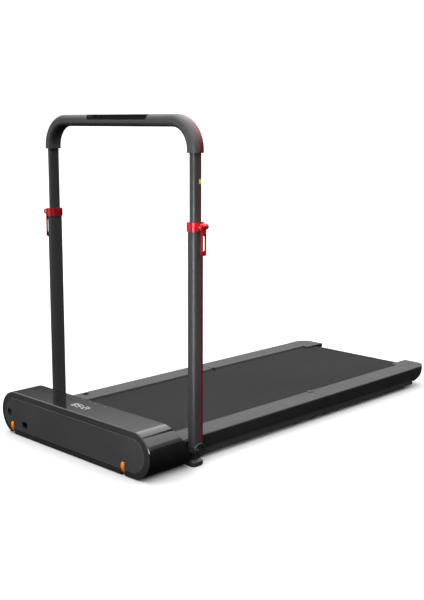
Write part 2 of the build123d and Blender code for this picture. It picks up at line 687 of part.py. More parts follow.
def hinge_pins():
    end = KNUCKLE_START + 2 * KNUCKLE_WIDTH + 1.0
    return pair(rod_x(HINGE_PIN_RADIUS, KNUCKLE_START - 0.7, end, SEAM, HINGE_Z))


# ---- feet --------------------------------------------------------------------
def rubber_foot(x, y, top):
    foot = rod_z(FOOT_RADIUS, x, y, FLOOR, top)
    return chamfer(foot.edges().filter_by(GeomType.CIRCLE).sort_by(Axis.Z)[0], 1.0)


def rubber_feet_front():
    feet = rubber_foot(FOOT_X, HOUSING_FOOT_Y, HOUSING_BOTTOM)
    for y in FRONT_FEET_Y:
        feet += rubber_foot(FOOT_X, y, DECK_BOTTOM)
    return pair(feet + post_foot(FLOOR, FLOOR + PAD_THICKNESS, 2.0))


def rubber_feet_rear():
    near, far = REAR_FEET_Y
    return pair(rubber_foot(FOOT_X, near, DECK_BOTTOM) + rubber_foot(FOOT_X, far, DECK_BOTTOM))


# ---- handrail pivot ----------------------------------------------------------
def post_bracket():
    """The right pivot bracket: a plate beside the deck and a foot under the post."""
    plate_outer = POST_X - LOWER_WIDTH / 2 - 0.7
    plate = block(DECK_HALF_WIDTH + GAP, plate_outer, POST_Y - 24, POST_Y + 24, FLOOR + PAD_THICKNESS, 70.0)
    foot = post_foot(FLOOR + PAD_THICKNESS, POST_FOOT_TOP, 0.0)
    foot = chamfer(foot.faces().sort_by(Axis.Z)[-1].edges().sort_by(Axis.X)[1:], POST_FOOT_SLOPE)
    bracket = plate + foot
    return bracket - rod_x(PIVOT_PIN_RADIUS + RUNNING_CLEARANCE, 300, 360, POST_Y, PIVOT_Z)


def post_foot(z0, z1, inset):
    """A foot block beside the deck under the right post, its outer corners rounded."""
    half = POST_FOOT_DEPTH / 2 - inset
    inner, outer = DECK_HALF_WIDTH + GAP + inset, POST_FOOT_OUTER - inset
    foot = block(inner, outer, POST_Y - half, POST_Y + half, z0, z1)
    return fillet(foot.edges().filter_by(Axis.Z).group_by(Axis.X)[-1], 10.0)


def pivot_pins():
    return pair(rod_x(PIVOT_PIN_RADIUS, FRAME_OUTER, PIVOT_PIN_END, POST_Y, PIVOT_Z))


def knob():
    """A round clamp knob with a grip bar left between two scooped pockets."""
    body = rod_x(KNOB_RADIUS, KNOB_X0, KNOB_X1, 0, 0)
    body = fillet(body.edges().filter_by(GeomType.CIRCLE).sort_by(Axis.X)[-1], 2.0)
    pocket = rod_x(KNOB_POCKET, KNOB_X1 - KNOB_POCKET_DEPTH, KNOB_X1 + BEYOND, 0, 0)
    grip = Box(4 * KNOB_RADIUS, KNOB_GRIP, 2 * KNOB_RADIUS)
    body -= pocket - Pos(KNOB_X1, 0, 0) * grip
    body -= rod_x(PIVOT_PIN_RADIUS + RUNNING_CLEARANCE, KNOB_X0 - 1, PIVOT_PIN_END + GAP, 0, 0)
    return Pos(0, POST_Y, PIVOT_Z) * body


# ---- posts -------------------------------------------------------------------
def outer_rear_corner(width, depth, z0, z1, side):
    """The outer rear corner of a post, where a coloured strip is let in."""
    x0, x1 = (2.0, width) if side > 0 else (-width, -2.0)
    return block(x0, x1, 5.0, depth, z0, z1)


def tube_strip(width, depth, corner, z0, z1, side):
    """The strip that fills a post's outer rear corner, as deep as STRIP_DEPTH."""
    inset = 2 * STRIP_DEPTH
    skin = rounded_column(width, depth, corner, z0, z1)
    skin -= rounded_column(width - inset, depth - inset, corner - STRIP_DEPTH, z0 - 1, z1 + 1)
    return skin & outer_rear_corner(width, depth, z0, z1, side)


def place_post(part, side):
    return Pos(side * POST_X, POST_Y, 0) * part


def lower_post(side):
    """The lower tube, with a solid rounded end that turns on the pivot pin."""
    tube = rounded_column(LOWER_WIDTH, LOWER_DEPTH, LOWER_CORNER, PIVOT_Z - LOWER_DEPTH / 2, LOWER_TOP)
    bore_width, bore_depth = LOWER_WIDTH - 2 * TUBE_WALL, LOWER_DEPTH - 2 * TUBE_WALL
    cavity = rounded_column(bore_width, bore_depth, LOWER_CORNER - TUBE_WALL, LOWER_PLUG_TOP, LOWER_TOP + 1)
    below = block(-30, 30, -30, 30, 0, PIVOT_Z) - rod_x(LOWER_DEPTH / 2, -40, 40, 0, PIVOT_Z)
    post = tube - cavity - below - lower_strip(side)
    post -= rod_x(PIVOT_PIN_RADIUS + RUNNING_CLEARANCE, -40, 40, 0, PIVOT_Z)
    seat = KNOB_X0 - POST_X - GAP
    post -= rod_x(KNOB_RADIUS + GAP, side * seat, side * LOWER_WIDTH, 0, PIVOT_Z)
    return place_post(post, side)


def lower_strip(side):
    return tube_strip(LOWER_WIDTH, LOWER_DEPTH, LOWER_CORNER, LOWER_PLUG_TOP, COLLAR_LOW, side)


def upper_strip(side):
    return tube_strip(UPPER_WIDTH, UPPER_DEPTH, UPPER_CORNER, UPPER_BOTTOM, HANDLE_LOW, side)


def lower_post_strips():
    return Compound(children=[place_post(lower_strip(side), side).solid() for side in (-1, 1)])


def upper_post(side):
    bore_width, bore_depth = UPPER_WIDTH - 2 * TUBE_WALL, UPPER_DEPTH - 2 * TUBE_WALL
    tube = rounded_column(UPPER_WIDTH, UPPER_DEPTH, UPPER_CORNER, UPPER_BOTTOM, UPPER_TOP)
    bore_corner = UPPER_CORNER - TUBE_WALL
    tube -= rounded_column(bore_width, bore_depth, bore_corner, UPPER_BOTTOM - 1, UPPER_TOP + 1)
    return place_post(tube - upper_strip(side), side)


def guide_bushes():
    """Plastic sleeves that guide the upper tubes inside the lower ones."""
    slack = 2 * TUBE_WALL + 0.1
    corner, low = LOWER_CORNER - TUBE_WALL, LOWER_TOP - BUSH_LENGTH
    bush = rounded_column(LOWER_WIDTH - slack, LOWER_DEPTH - slack, corner, low, LOWER_TOP)
    bush -= room_for_upper_post()
    return Compound(children=[place_post(bush, side).solid() for side in (-1, 1)])


def room_for_upper_post():
    """The space round an upper tube at the origin, through the clamp's whole height."""
    slack = 2 * GAP
    return rounded_column(UPPER_WIDTH + slack, UPPER_DEPTH + slack, UPPER_CORNER + GAP, *CLAMP_ZONE)


# ---- clamps ------------------------------------------------------------------
def clamp_collar():
    """The right collar at the origin: a band with two ears for the cam lever."""
    width, depth = LOWER_WIDTH + 2 * COLLAR_WALL, LOWER_DEPTH + 2 * COLLAR_WALL
    band = rounded_column(width, depth, LOWER_CORNER + COLLAR_WALL, COLLAR_LOW, COLLAR_HIGH)
    seat_top = LOWER_TOP + 0.1
    band -= rounded_column(LOWER_WIDTH + 0.1, LOWER_DEPTH + 0.1, LOWER_CORNER, COLLAR_LOW - 1, seat_top)
    band -= room_for_upper_post()
    band -= block(BARREL_X - BARREL_RADIUS - GAP, 40, LEVER_Y0 - GAP, LEVER_Y1 + GAP, *CLAMP_ZONE)
    ears = clamp_ear(LEVER_Y0 - GAP - EAR) + clamp_ear(LEVER_Y1 + GAP)
    ears -= rod_y(LEVER_PIN_RADIUS + RUNNING_CLEARANCE, BARREL_X, -30, 30, BARREL_Z)
    ears -= rounded_column(LOWER_WIDTH + 0.1, LOWER_DEPTH + 0.1, LOWER_CORNER, *CLAMP_ZONE)
    return band + ears


def clamp_ear(y):
    """One ear, rounded about the lever pin."""
    ear = block(LOWER_WIDTH / 2 - 2, BARREL_X, y, y + EAR, BARREL_Z - 8, BARREL_Z + 8)
    return ear + rod_y(8.0, BARREL_X, y, y + EAR, BARREL_Z)


def cam_lever():
    """The right lever at the origin: a cam barrel and a slotted handle plate."""
    lever = rod_y(BARREL_RADIUS, BARREL_X, LEVER_Y0, LEVER_Y1, BARREL_Z)
    plate = block(BARREL_X - 1, BARREL_X + 3, LEVER_Y0, LEVER_Y1, LEVER_LOW, BARREL_Z)
    plate = fillet(plate.edges().filter_by(Axis.X).group_by(Axis.Z)[0], 5.0)
    middle = (LEVER_Y0 + LEVER_Y1) / 2
    slot_y = (middle - LEVER_SLOT_HALF, middle + LEVER_SLOT_HALF)
    slot_z = (LEVER_LOW + LEVER_SLOT_LOW, LEVER_LOW + LEVER_SLOT_HIGH)
    slot = block(BARREL_X - 5, BARREL_X + 6, *slot_y, *slot_z)
    slot = fillet(slot.edges().filter_by(Axis.X), 4.0)
    lever += plate - slot
    return lever - rod_y(LEVER_PIN_RADIUS + RUNNING_CLEARANCE, BARREL_X, -30, 30, BARREL_Z)


def lever_pins():
    pin = rod_y(LEVER_PIN_RADIUS, BARREL_X, LEVER_Y0 - EAR, LEVER_Y1 + EAR, BARREL_Z)
    right = place_post(pin, 1)
    left = place_post(half_turn(pin), -1)
    return Compound(children=[right.solid(), left.solid()])


# ---- handle ------------------------------------------------------------------
def handle_section(shrink):
    return RectangleRounded(HANDLE_WIDTH - 2 * shrink, HANDLE_DEPTH - 2 * shrink, HANDLE_CORNER - shrink)


def bent(section):
    """A section at the right post's top, turned a quarter round into the crossbar."""
    face = Pos(POST_X, POST_Y, BEND_Z) * section
    return revolve(face, Axis((BEND_X, POST_Y, BEND_Z), (0, -1, 0)), 90)


def straight_down(section, z0):
    return extrude(Pos(POST_X, POST_Y, z0) * section, BEND_Z - z0)


def strip_section():
    """The part of the handle's skin that the coloured strip takes."""
    skin = handle_section(0.0) - handle_section(STRIP_DEPTH)
    window = Rectangle(HANDLE_WIDTH, HANDLE_DEPTH)
    return skin & Pos(HANDLE_STRIP_X + HANDLE_WIDTH / 2, HANDLE_STRIP_Y + HANDLE_DEPTH / 2) * window


def handle_strip():
    return bent(strip_section()) + straight_down(strip_section(), HANDLE_LOW)


def handle_corner():
    """The right grip corner: hollow, with a closed foot round the upper tube."""
    corner = bent(handle_section(0.0) - handle_section(HANDLE_WALL))
    corner += straight_down(handle_section(0.0) - handle_section(HANDLE_WALL), HANDLE_LOW)
    foot = extrude(Pos(POST_X, POST_Y, HANDLE_LOW) * handle_section(0.0), 4.0)
    socket = rounded_column(UPPER_WIDTH + 0.2, UPPER_DEPTH + 0.2, UPPER_CORNER, 900, 950)
    corner += foot - place_post(socket, 1)
    return corner - handle_strip()


def bar_section(shrink):
    plane = Plane(origin=(-BEND_X, POST_Y, HANDLE_Z), x_dir=(0, 0, 1), z_dir=(1, 0, 0))
    return plane * handle_section(shrink)


def tray_block(y0, y1, z0, widen):
    """A long block with sloping ends, open upwards, for the phone tray's room."""
    top = HANDLE_Z + HANDLE_WIDTH / 2 + 1.0
    low = PHONE_HALF_LENGTH + widen - 8.0
    high = PHONE_HALF_LENGTH + widen
    plane = Plane(origin=(PHONE_X, POST_Y + y1, 0), x_dir=(1, 0, 0), z_dir=(0, -1, 0))
    outline = Polygon((-low, z0), (low, z0), (high, top), (-high, top), align=None)
    return extrude(plane * outline, y1 - y0)


def handle_bar():
    bar = extrude(bar_section(0.0) - bar_section(HANDLE_WALL), 2 * BEND_X)
    return bar - tray_block(-30, PHONE_BACK, PHONE_FLOOR - 0.5, 0.5)


def phone_tray():
    """A rubber-lined ledge with a low front lip, let into the crossbar's top."""
    tray = tray_block(PHONE_FRONT, PHONE_BACK - 0.2, PHONE_FLOOR, 0.0)
    tray -= block(-200, 200, POST_Y - 40, POST_Y + 40, PHONE_TOP, 1030.0)
    wall = PHONE_WALL
    tray -= tray_block(PHONE_FRONT + wall, PHONE_BACK - wall, PHONE_FLOOR + wall, -wall)
    return tray - block(-200, 200, POST_Y - 40, POST_Y + PHONE_FRONT + wall + 0.5, PHONE_LIP, 1030.0)


def upper_strips():
    """The strips of both upper tubes and of both handle corners."""
    strips = [place_post(upper_strip(side), side).solid() for side in (-1, 1)]
    return Compound(children=strips + pair(handle_strip()).solids())


# ---- the nodes ---------------------------------------------------------------
FRONT_BOARD_START = FRONT_ROLLER_Y + BOARD_END_GAP
REAR_BOARD_END = REAR_ROLLER_Y - BOARD_END_GAP

NODES = {
    "housing_shell": housing_shell(),
    "front_bezel": front_bezel(),
    "front_panel": front_panel(),
    "housing_rear_panel": housing_rear_panel(),
    "base_pan": base_pan(),
    "display_board": display_board(),
    "motor_controller": motor_controller(),
    "motor_body": motor_body(),
    "drive_belt": drive_belt(),
    "power_inlet": power_inlet(),
    "switch_bezel": switch_bezel(),
    "switch_rocker": switch_rocker(),
    "safety_key_socket": safety_key_socket(),
    "front_frame": front_frame(),
    "front_running_board": running_board(FRONT_BOARD_START, SEAM - 3),
    "running_belt_front": running_belt(FRONT_ROLLER_Y, SEAM - SEAM_GAP),
    "foot_rail_front_left": foot_rail_front_left(),
    "foot_rail_front_right": foot_rail(RAIL_FRONT, SEAM - SEAM_GAP),
    "side_skirts_front": side_skirts_front(),
    "deck_base_front": deck_base(PAN_REAR + 2, SEAM - SEAM_GAP),
    "hinge_leaves_front": hinge_leaves_front(),
    "rubber_feet_front": rubber_feet_front(),
    "post_brackets": pair(post_bracket()),
    "pivot_pins": pivot_pins(),
    "front_axles": front_axles(),
    "front_roller": front_roller(),
    "motor_rotor": motor_rotor(),
    "wheel_left": transport_wheel(WHEEL_X["left"]),
    "wheel_right": transport_wheel(WHEEL_X["right"]),
    "rear_frame": rear_frame(),
    "rear_running_board": running_board(SEAM + 3, REAR_BOARD_END),
    "running_belt_rear": running_belt(REAR_ROLLER_Y, SEAM + SEAM_GAP),
    "foot_rails_rear": pair(foot_rail(SEAM + SEAM_GAP, END_CAP_FRONT)),
    "side_skirts_rear": pair(side_skirt(SEAM + SEAM_GAP, END_CAP_FRONT)),
    "deck_base_rear": deck_base(SEAM + SEAM_GAP, END_CAP_FRONT),
    "rear_end_caps": rear_end_caps(),
    "hinge_leaves_rear": hinge_leaves_rear(),
    "hinge_pins": hinge_pins(),
    "rubber_feet_rear": rubber_feet_rear(),
    "rear_roller": rear_roller(),
    "rear_roller_axle": rear_roller_axle(),
    "tension_bolts": tension_bolts(),
    "lower_post_left": lower_post(-1),
    "lower_post_right": lower_post(1),
    "lower_post_strips": lower_post_strips(),
    "guide_bushes": guide_bushes(),
    "clamp_collar_left": place_post(half_turn(clamp_collar()), -1),
    "clamp_collar_right": place_post(clamp_collar(), 1),
    "cam_lever_left": place_post(half_turn(cam_lever()), -1),
    "cam_lever_right": place_post(cam_lever(), 1),
    "lever_pins": lever_pins(),
    "knob_left": mirrored(knob()),
    "knob_right": knob(),
    "upper_post_left": upper_post(-1),
    "upper_post_right": upper_post(1),
    "upper_strips": upper_strips(),
    "handle_bar": handle_bar(),
    "handle_corner_left": mirrored(handle_corner()),
    "handle_corner_right": handle_corner(),
    "phone_tray": phone_tray(),
}


def from_origin(shape):
    """The node's solids, moved so that they are measured from the origin."""
    solids = [DATUM * solid for solid in shape.solids()]
    return solids[0] if len(solids) == 1 else Compound(children=solids)


os.makedirs("parts", exist_ok=True)
for name, shape in NODES.items():
    export_step(from_origin(shape), os.path.join("parts", name + ".step"))
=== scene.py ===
import json
import math

import bmesh
import bpy
from mathutils import Matrix, Vector


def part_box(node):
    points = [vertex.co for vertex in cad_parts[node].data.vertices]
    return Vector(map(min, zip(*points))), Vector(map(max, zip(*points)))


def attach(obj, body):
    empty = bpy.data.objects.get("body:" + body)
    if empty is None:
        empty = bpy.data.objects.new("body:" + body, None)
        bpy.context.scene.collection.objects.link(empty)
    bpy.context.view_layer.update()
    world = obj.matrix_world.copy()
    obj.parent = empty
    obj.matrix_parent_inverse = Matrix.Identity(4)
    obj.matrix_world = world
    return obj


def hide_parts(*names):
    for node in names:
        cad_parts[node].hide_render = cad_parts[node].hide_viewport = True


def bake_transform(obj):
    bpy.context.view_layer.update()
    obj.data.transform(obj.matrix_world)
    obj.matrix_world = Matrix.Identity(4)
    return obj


# The looks of a folding walking-pad treadmill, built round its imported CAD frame.
# Metres, in the CAD frame: +X is right and -Y is front as the housing is faced, +Z is up.

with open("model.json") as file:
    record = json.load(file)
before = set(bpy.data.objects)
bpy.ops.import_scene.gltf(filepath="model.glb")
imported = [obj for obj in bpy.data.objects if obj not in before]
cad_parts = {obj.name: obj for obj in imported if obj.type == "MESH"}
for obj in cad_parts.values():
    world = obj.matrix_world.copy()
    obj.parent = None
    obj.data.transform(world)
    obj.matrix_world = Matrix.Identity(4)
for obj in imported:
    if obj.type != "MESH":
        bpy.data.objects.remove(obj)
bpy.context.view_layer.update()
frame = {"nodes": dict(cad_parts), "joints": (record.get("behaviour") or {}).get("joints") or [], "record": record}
NODES = frame["nodes"]
JOINTS = {joint["name"]: joint for joint in frame["joints"]}

MM = 0.001

# ---- camera, in metres and degrees, with its lens in millimetres ---------------
CAMERA_PLACE = (2.2957, -2.4729, 0.9933)
CAMERA_AZIMUTH = 44.41
CAMERA_PITCH = 10.145
CAMERA_ROLL = 0.18
CAMERA_LENS = 58.65
CAMERA_SHIFT = (-0.0009, -0.0020)

# ---- belt loop, from the CAD belt's two halves ---------------------------------
BELT_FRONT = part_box("running_belt_front")
BELT_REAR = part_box("running_belt_rear")
BELT_THICKNESS = 1.9 * MM
BELT_OUTER = (BELT_FRONT[1].z - BELT_FRONT[0].z) / 2
BELT_INNER = BELT_OUTER - BELT_THICKNESS
BELT_HALF_WIDTH = BELT_FRONT[1].x
ROLLER_Z = BELT_FRONT[0].z + BELT_OUTER
FRONT_ROLLER_Y = BELT_FRONT[0].y + BELT_OUTER
REAR_ROLLER_Y = BELT_REAR[1].y - BELT_OUTER
SEAM_Y = JOINTS["deck_fold"]["pos_m"][1]
BELT_BEND = 13.0 * MM
BELT_ROUND = 0.5 * MM
BEND_STEPS = 36
ROLLER_STEPS = 28

# ---- display -----------------------------------------------------------------
DISPLAY_TEXT = "12:58"
DIGIT_WIDTH = 15.0 * MM
DIGIT_HEIGHT = 25.0 * MM
DIGIT_STROKE = 2.4 * MM
# Each digit's left side as it is read, by its place in the text: facing -Y, left is +X.
DIGIT_LEFTS = {0: 36.5 * MM, 1: 16.5 * MM, 3: -11.5 * MM, 4: -33.0 * MM}
DIGIT_TOP_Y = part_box("front_panel")[0].y + 42.2 * MM
SEGMENTS = {"1": "bc", "2": "abged", "5": "afgcd", "8": "abcdefg"}
SEGMENT_INSET = 0.5 * MM
COLON_X = -5.0 * MM
COLON_HALF = 1.2 * MM
COLON_LEVELS = (0.32, 0.68)
LIT_HEIGHT = 0.12 * MM
LIT_BASE_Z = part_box("housing_shell")[1].z - 0.05 * MM
ICON_ROW_Y = DIGIT_TOP_Y + 63.0 * MM
ICON_RING_CENTRES = (-28.0 * MM, -4.0 * MM)
ICON_RING_INNER = 2.2 * MM
ICON_RING_OUTER = 3.6 * MM
ICON_DASH_LEFTS = (-72.0 * MM, 38.0 * MM)
ICON_DASH_LENGTH = 12.0 * MM
ICON_DASH_HALF = 1.0 * MM
RING_STEPS = 20

# ---- housing trim ------------------------------------------------------------
BEAD_INSET = 19.8 * MM
BEAD_DEPTH = 0.1 * MM
EDGE_INSET = 1.0 * MM
EDGE_DEPTH = 2.3 * MM
TRIM_RADIUS = 0.45 * MM
TRIM_ARC_STEPS = 48
TRIM_STEP = 5.0 * MM
TRIM_SIDES = 8
TRIM_CLEAR = 2.2 * MM
WHEEL_BOXES = [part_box("wheel_left"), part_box("wheel_right")]

# ---- height mark -------------------------------------------------------------
UPPER_CORNER = 9.5 * MM
MARK_LOW = 828.0 * MM
MARK_HEIGHT = 12.0 * MM
MARK_PROUD = 0.15 * MM
MARK_SUNK = 0.5 * MM
MARK_FLAT = 5.0 * MM
MARK_TURN = math.radians(9)
MARK_STEPS = 9

# ---- finishes ----------------------------------------------------------------
RAIL_GREY = (0.039, 0.039, 0.0394)
SKIRT_BLACK = (0.0062, 0.0062, 0.0062)
CAP_LINE_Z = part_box("side_skirts_rear")[1].z
CAP_LINE_HALF = 0.5 * MM
TREAD_TURN = math.radians(32)
TREAD_SCALE = 66.0
HUB_RADIUS = 21.6 * MM
TYRE_RADIUS = 22.2 * MM
SHARP_EDGE = math.radians(35)

# ---- stage -------------------------------------------------------------------
FLOOR_SIZE = 60
BACKDROP_RADIUS = 28
# Brightness of the room against elevation in degrees: a wide overhead softbox above a dim wall.
ROOM_LEVELS = ((-5.0, 0.01), (2.0, 0.05), (14.8, 0.07), (16.1, 0.42),
               (17.8, 0.90), (27.0, 1.2), (31.0, 4.0), (90.0, 4.0))


# ---- shader helpers ----------------------------------------------------------
class Shader:
    """A node material: its Principled shader, and short calls that add nodes to it."""

    def __init__(self, name, **uniform):
        self.material = bpy.data.materials.new(name)
        self.material.use_nodes = True
        self.tree = self.material.node_tree
        self.surface = self.tree.nodes["Principled BSDF"]
        for socket, value in uniform.items():
            self.surface.inputs[socket.replace("_", " ")].default_value = value

    def add(self, kind, inputs=None, **settings):
        node = self.tree.nodes.new("ShaderNode" + kind)
        for key, value in settings.items():
            setattr(node, key, value)
        for socket, value in (inputs or {}).items():
            self.put(node.inputs[socket], value)
        return node

    def put(self, socket, value):
        if isinstance(value, bpy.types.NodeSocket):
            self.tree.links.new(value, socket)
        else:
            socket.default_value = value

    def place(self, stretch=(1.0, 1.0, 1.0), turn=0.0):
        """Object coordinates, stretched along each axis and turned about Z."""
        where = self.add("TexCoord").outputs["Object"]
        mapping = self.add("Mapping", {"Vector": where, "Scale": stretch, "Rotation": (0, 0, turn)})
        return mapping.outputs["Vector"]

    def noise(self, scale, detail=2.0, stretch=(1.0, 1.0, 1.0)):
        """Noise from about 0.3 to 0.7, with scale in waves to the metre."""
        inputs = {"Vector": self.place(stretch), "Scale": scale, "Detail": detail}
        return self.add("TexNoise", inputs).outputs["Fac"]

    def ranged(self, value, low, high, start=0.3, end=0.7):
        """The value stretched so that start gives low and end gives high."""
        inputs = {"Value": value, "From Min": start, "From Max": end, "To Min": low, "To Max": high}
        return self.add("MapRange", inputs).outputs["Result"]

    def product(self, a, b):
        node = self.add("Math", {0: a, 1: b}, operation="MULTIPLY")
        return node.outputs["Value"]

    def mixed(self, factor, a, b):
        """A colour between a and b, each a colour or a socket."""
        colour_a, colour_b, colour_out = 6, 7, 2
        node = self.add("Mix", data_type="RGBA")
        self.put(node.inputs["Factor"], factor)
        self.put(node.inputs[colour_a], a)
        self.put(node.inputs[colour_b], b)
        return node.outputs[colour_out]

    def bump(self, height, distance, under=None):
        """A normal raised by height, times a distance in metres, over the one under it."""
        node = self.add("Bump", {"Height": height, "Distance": distance, "Strength": 1.0})
        if under is not None:
            self.put(node.inputs["Normal"], under)
        return node.outputs["Normal"]

    def wear(self, colour, roughness, normal=None):
        """Puts the look on the shader and returns the finished material."""
        self.put(self.surface.inputs["Base Color"], colour)
        self.put(self.surface.inputs["Roughness"], roughness)
        if normal is not None:
            self.put(self.surface.inputs["Normal"], normal)
        return self.material


def rgba(colour, brightness=1.0):
    """The colour, brightened, as the four numbers that a socket takes."""
    return (*(min(1.0, part * brightness) for part in colour), 1.0)


def moulded(name, colour, roughness, grain, depth, mottle=0.10, scuffs=0.0, **uniform):
    """Moulded or painted skin: even mottling, fine grain, smudged gloss and pale scuffs."""
    shader = Shader(name, **uniform)
    cloud = shader.noise(6.0, 5.0)
    fine = shader.noise(grain, 3.0)
    tone = shader.mixed(shader.ranged(cloud, 0.0, 1.0), rgba(colour, 1 - mottle), rgba(colour, 1 + mottle))
    speckle = shader.ranged(fine, 0.0, 0.35)
    tone = shader.mixed(speckle, tone, rgba(colour, 1 + 2.5 * mottle))
    if scuffs:
        streak = shader.ranged(shader.noise(28.0, 8.0, (1.0, 0.18, 1.0)), 0.0, scuffs, 0.60, 0.74)
        tone = shader.mixed(streak, tone, rgba(colour, 2.2))
    low, high = roughness
    gloss = shader.ranged(shader.noise(14.0, 6.0), low, high)
    return shader.wear(tone, gloss, shader.bump(fine, depth))


def brushed(name, colour, roughness, along):
    """Bare metal with fine machining lines along one axis, and dull patches."""
    shader = Shader(name, Metallic=1.0)
    stretch = {"X": (0.02, 1.0, 1.0), "Y": (1.0, 0.02, 1.0)}[along]
    lines = shader.noise(900.0, 2.0, stretch)
    patches = shader.noise(35.0, 6.0)
    tone = shader.mixed(shader.ranged(patches, 0.0, 1.0), rgba(colour, 0.72), rgba(colour, 1.08))
    low, high = roughness
    return shader.wear(tone, shader.ranged(lines, low, high), shader.bump(lines, 0.00003))


def zinc_plate():
    """Zinc plating: faint yellowish spangle, duller in places."""
    shader = Shader("zinc_plate", Metallic=1.0)
    cells = shader.add("TexVoronoi", {"Vector": shader.place(), "Scale": 260.0}).outputs["Color"]
    tone = shader.mixed(0.25, rgba((0.46, 0.46, 0.44)), cells)
    tone = shader.mixed(shader.ranged(shader.noise(40.0, 5.0), 0.0, 0.6), rgba((0.50, 0.49, 0.45)), tone)
    gloss = shader.ranged(shader.noise(90.0, 5.0), 0.28, 0.50)
    return shader.wear(tone, gloss, shader.bump(shader.noise(700.0, 2.0), 0.00003))


def gloss_acrylic():
    """High-gloss black cover: hairline scratches, fingertip smudges and a little dust."""
    shader = Shader("gloss_acrylic", IOR=1.42)
    hairs = shader.noise(420.0, 1.0, (0.03, 1.0, 1.0))
    smudges = shader.noise(22.0, 7.0)
    dust = shader.ranged(shader.noise(1500.0, 2.0), 0.0, 1.0, 0.70, 0.78)
    clean, touched = rgba((0.0035, 0.0035, 0.0038)), rgba((0.0055, 0.0055, 0.0058))
    tone = shader.mixed(shader.ranged(smudges, 0.0, 1.0), clean, touched)
    tone = shader.mixed(dust, tone, rgba((0.10, 0.10, 0.10)))
    return shader.wear(tone, shader.ranged(smudges, 0.06, 0.10), shader.bump(hairs, 0.000004))


def belt_cover():
    """PVC belt: a lozenge tread, and dusted lanes where feet land."""
    shader = Shader("belt_cover", Specular_IOR_Level=0.02)
    ridges = []
    for turn in (TREAD_TURN, -TREAD_TURN):
        inputs = {"Vector": shader.place(turn=turn), "Scale": TREAD_SCALE}
        wave = shader.add("TexWave", inputs, wave_type="BANDS", bands_direction="X")
        ridges.append(wave.outputs["Fac"])
    lozenge = shader.product(*ridges)
    grit = shader.noise(1400.0, 2.0)
    lanes = shader.ranged(shader.noise(3.5, 5.0, (1.6, 0.5, 1.0)), 0.0, 1.0)
    tone = shader.mixed(lanes, rgba((0.0068, 0.0068, 0.0070)), rgba((0.0095, 0.0095, 0.0097)))
    tone = shader.mixed(shader.ranged(lozenge, 0.0, 0.8, 0.15, 0.95), tone, rgba((0.042, 0.042, 0.0424)))
    gloss = shader.ranged(grit, 0.55, 0.80)
    normal = shader.bump(grit, 0.00008, shader.bump(lozenge, 0.0005))
    return shader.wear(tone, gloss, normal)


def laminate_board():
    """Fibreboard with a dark phenolic face: fibres along the length and waxy patches."""
    shader = Shader("laminate_board")
    fibre = shader.noise(260.0, 6.0, (1.0, 0.05, 1.0))
    wax = shader.noise(9.0, 4.0)
    tone = shader.mixed(shader.ranged(fibre, 0.0, 1.0), rgba((0.17, 0.12, 0.075)), rgba((0.31, 0.22, 0.14)))
    return shader.wear(tone, shader.ranged(wax, 0.35, 0.60), shader.bump(fibre, 0.0001))


def circuit_board():
    """Green solder mask over copper tracks."""
    shader = Shader("circuit_board", Coat_Weight=0.4)
    inputs = {"Vector": shader.place(), "Scale": 90.0, "Mortar Size": 0.012}
    tracks = shader.add("TexBrick", inputs).outputs["Fac"]
    tone = shader.mixed(tracks, rgba((0.012, 0.085, 0.035)), rgba((0.03, 0.16, 0.07)))
    gloss = shader.ranged(shader.noise(60.0, 3.0), 0.25, 0.40)
    return shader.wear(tone, gloss, shader.bump(tracks, 0.00004))


def red_metal(name, colour, roughness, metallic):
    """Anodised or lacquered red metal, with a fine blasted grain and rubbed patches."""
    shader = Shader(name, Metallic=metallic)
    rubbed = shader.noise(45.0, 6.0)
    grain = shader.noise(1600.0, 2.0)
    tone = shader.mixed(shader.ranged(rubbed, 0.0, 1.0), rgba(colour, 0.85), rgba(colour, 1.15))
    low, high = roughness
    return shader.wear(tone, shader.ranged(rubbed, low, high), shader.bump(grain, 0.00003))


def lit_glass(name, colour, strength):
    """A lit mark on the black cover, a little uneven across each stroke."""
    shader = Shader(name, Emission_Strength=strength)
    glow = shader.mixed(shader.ranged(shader.noise(300.0, 2.0), 0.0, 1.0), rgba(colour, 0.75), rgba(colour))
    shader.put(shader.surface.inputs["Emission Color"], glow)
    return shader.wear(rgba((0.02, 0.02, 0.02)), 0.3, shader.bump(shader.noise(500.0, 2.0), 0.00001))


def two_tone_cap():
    """A rear cap: grey on top like the foot rail, and black below a line near the skirt's top edge."""
    shader = Shader("cap_two_tone", Specular_IOR_Level=0.06)
    where = shader.add("SeparateXYZ", {"Vector": shader.place()}).outputs["Z"]
    upper = shader.ranged(where, 0.0, 1.0, CAP_LINE_Z - CAP_LINE_HALF, CAP_LINE_Z + CAP_LINE_HALF)
    grain = shader.noise(1100.0, 3.0)
    tone = shader.mixed(upper, rgba(SKIRT_BLACK), rgba(RAIL_GREY))
    tone = shader.mixed(shader.ranged(grain, 0.0, 0.2), tone, rgba(RAIL_GREY, 1.3))
    gloss = shader.ranged(shader.noise(6.0, 5.0), 0.54, 0.62)
    return shader.wear(tone, gloss, shader.bump(grain, 0.00010))


